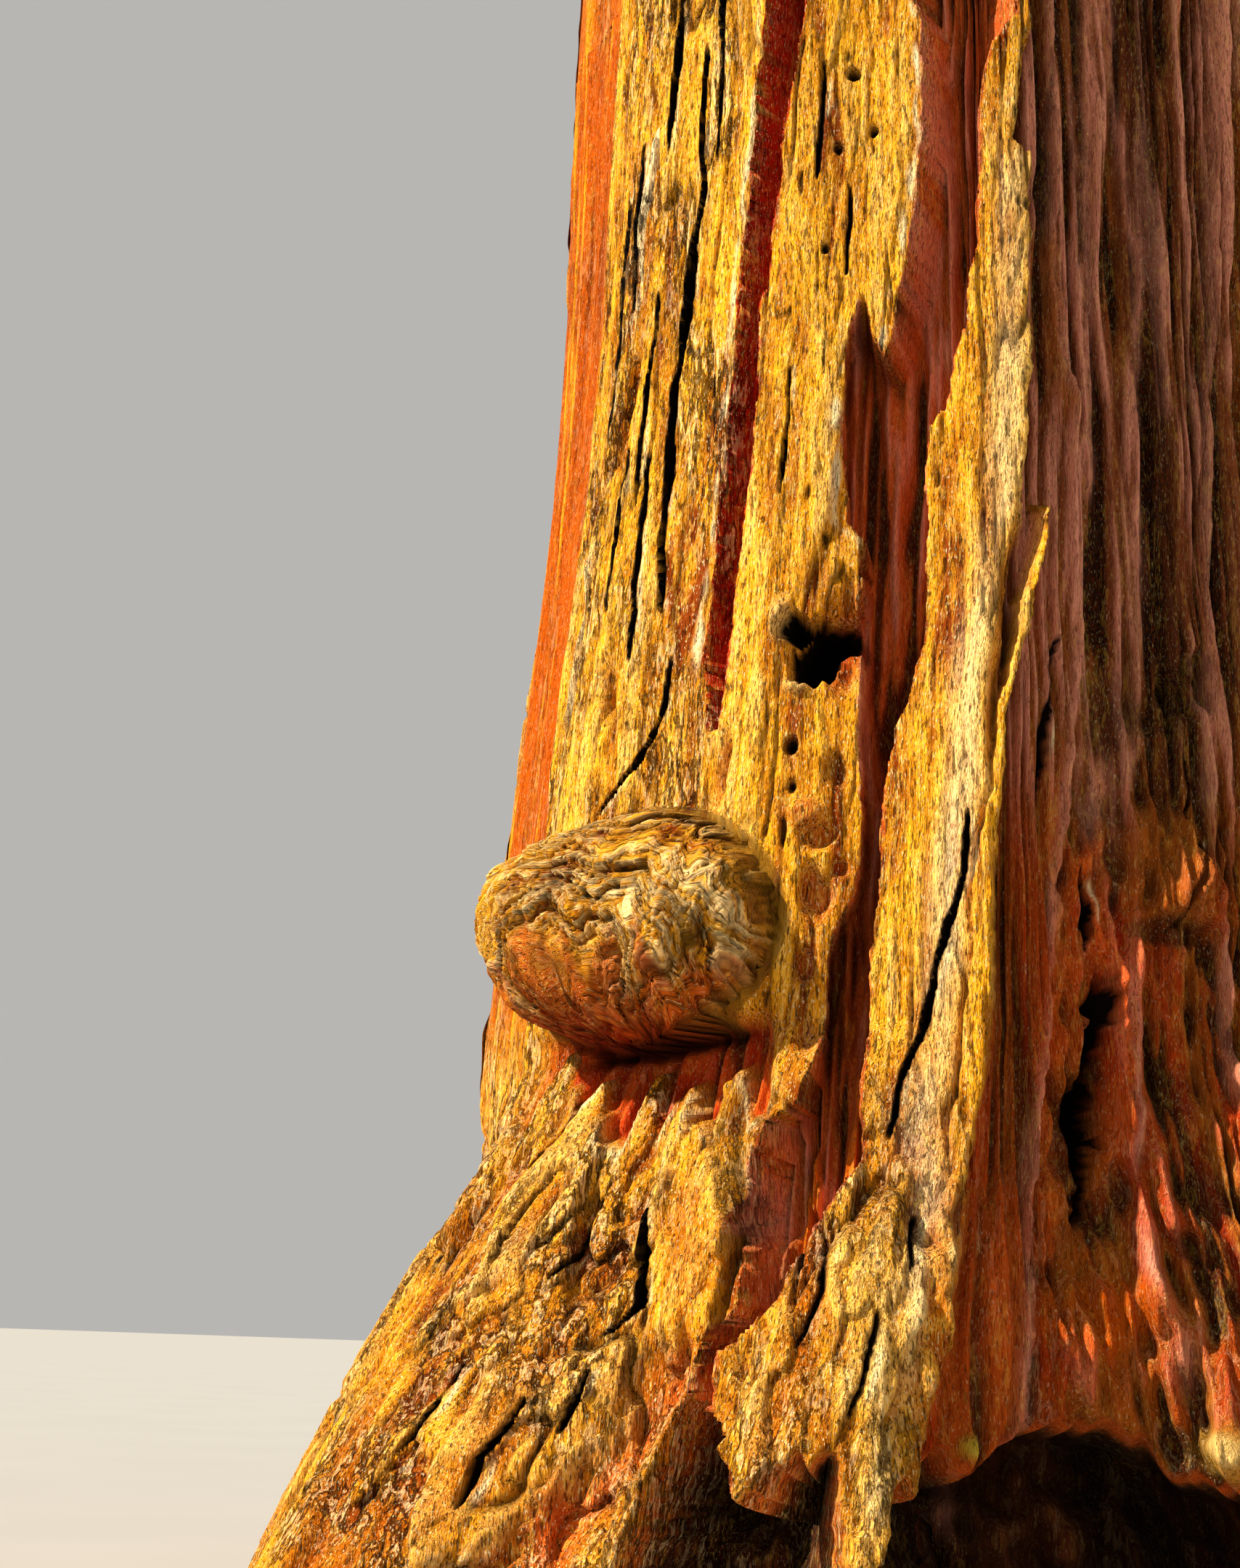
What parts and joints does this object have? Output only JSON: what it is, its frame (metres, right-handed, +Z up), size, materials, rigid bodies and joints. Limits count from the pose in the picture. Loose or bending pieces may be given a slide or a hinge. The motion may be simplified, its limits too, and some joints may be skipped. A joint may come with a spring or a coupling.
{
  "type": "giant sequoia tree",
  "caption": "Whole giant sequoia with a fluted, flared trunk, a burl, burnt hollows at the foot, heavy limbs and rounded masses of evergreen foliage, cut flat at ground level.",
  "frame": {"origin": "middle of the flat cut under the trunk at ground level, at the mount named ground", "axes": "+Z up the trunk; -Y towards the viewer of the picture; +X to that viewer's right"},
  "size_m": [13.7439, 13.7826, 40],
  "materials": {
    "trunk_bark": "thick fibrous bark, cinnamon to golden orange where the sun has bleached it, dark red in the furrows and black in the fissures",
    "bough_bark": "thinner, greyer red-brown bark with fine furrows along the limb",
    "foliage": "matt scale-like evergreen leaves in dense sprays, yellower at the tips"
  },
  "bodies": {
    "root": {"trunk": "trunk_bark", "bough_01": "bough_bark", "bough_02": "bough_bark", "bough_03": "bough_bark", "bough_04": "bough_bark", "bough_05": "bough_bark", "bough_06": "bough_bark", "bough_07": "bough_bark", "bough_08": "bough_bark", "bough_09": "bough_bark", "bough_10": "bough_bark", "bough_11": "bough_bark", "bough_12": "bough_bark", "bough_13": "bough_bark", "bough_14": "bough_bark", "bough_15": "bough_bark", "bough_16": "bough_bark", "bough_17": "bough_bark", "bough_18": "bough_bark", "bough_19": "bough_bark", "bough_20": "bough_bark", "bough_21": "bough_bark", "bough_22": "bough_bark", "bough_23": "bough_bark", "bough_24": "bough_bark", "bough_25": "bough_bark", "bough_26": "bough_bark", "bough_27": "bough_bark", "bough_28": "bough_bark", "foliage_01": "foliage", "foliage_02": "foliage", "foliage_03": "foliage", "foliage_04": "foliage", "foliage_05": "foliage", "foliage_06": "foliage", "foliage_07": "foliage", "foliage_08": "foliage", "foliage_09": "foliage", "foliage_10": "foliage", "foliage_11": "foliage", "foliage_12": "foliage", "foliage_13": "foliage", "foliage_14": "foliage", "foliage_15": "foliage", "foliage_16": "foliage", "foliage_17": "foliage", "foliage_18": "foliage", "foliage_19": "foliage", "foliage_20": "foliage", "foliage_21": "foliage", "foliage_22": "foliage", "foliage_23": "foliage", "foliage_24": "foliage", "foliage_25": "foliage", "foliage_26": "foliage", "foliage_27": "foliage", "foliage_28": "foliage", "foliage_top": "foliage"}
  },
  "joints": []
}
